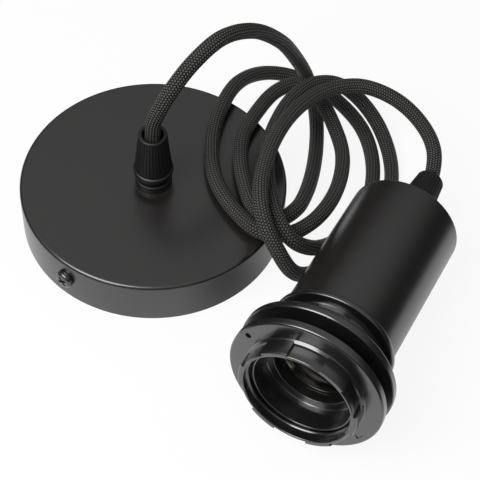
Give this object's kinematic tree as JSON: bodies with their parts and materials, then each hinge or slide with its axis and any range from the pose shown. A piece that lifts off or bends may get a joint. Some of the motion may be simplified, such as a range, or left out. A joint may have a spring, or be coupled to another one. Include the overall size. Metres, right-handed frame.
{
  "type": "pendant light",
  "caption": "Pendant lamp fitting with a round ceiling canopy, a braided cord and a screw lamp holder with two shade rings.",
  "frame": {"origin": "on the canopy's axis, in the plane of its ceiling face", "axes": "+Z from the ceiling face out of the canopy; -Y along the lying holder, towards its mouth"},
  "size_m": [0.1694, 0.1556, 0.0772],
  "materials": {
    "black_paint": "satin powder coat",
    "black_plastic": "satin moulded",
    "black_textile": "braided",
    "zinc_steel": "zinc plated",
    "nickel_brass": "rolled, bright",
    "ceramic": "unglazed white ceramic",
    "natural_plastic": "natural polyamide",
    "core_insulation": "smooth wire insulation"
  },
  "bodies": {
    "root": {"canopy": "black_paint", "ceiling_bracket": "zinc_steel", "canopy_screw_front": "black_paint", "canopy_screw_rear": "black_paint", "terminal_block": "natural_plastic", "terminal_screw_1": "zinc_steel", "terminal_screw_2": "zinc_steel", "terminal_screw_3": "zinc_steel", "terminal_screw_4": "zinc_steel", "terminal_block_screw": "zinc_steel", "canopy_core_1": "core_insulation", "canopy_core_2": "core_insulation", "canopy_grip_body": "black_plastic", "canopy_grip_cap": "black_plastic", "canopy_locknut": "zinc_steel", "cord": "black_textile", "holder_sleeve": "black_paint", "holder_dome": "black_plastic", "holder_barrel": "black_plastic", "shade_ring_front": "black_plastic", "shade_ring_middle": "black_plastic", "socket_shell": "nickel_brass", "contact_carrier": "ceramic", "centre_contact": "nickel_brass", "holder_terminal_screw_1": "zinc_steel", "holder_core_1": "core_insulation", "holder_terminal_screw_2": "zinc_steel", "holder_core_2": "core_insulation", "holder_grip_body": "black_plastic", "holder_grip_cap": "black_plastic", "holder_locknut": "zinc_steel"}
  },
  "joints": []
}
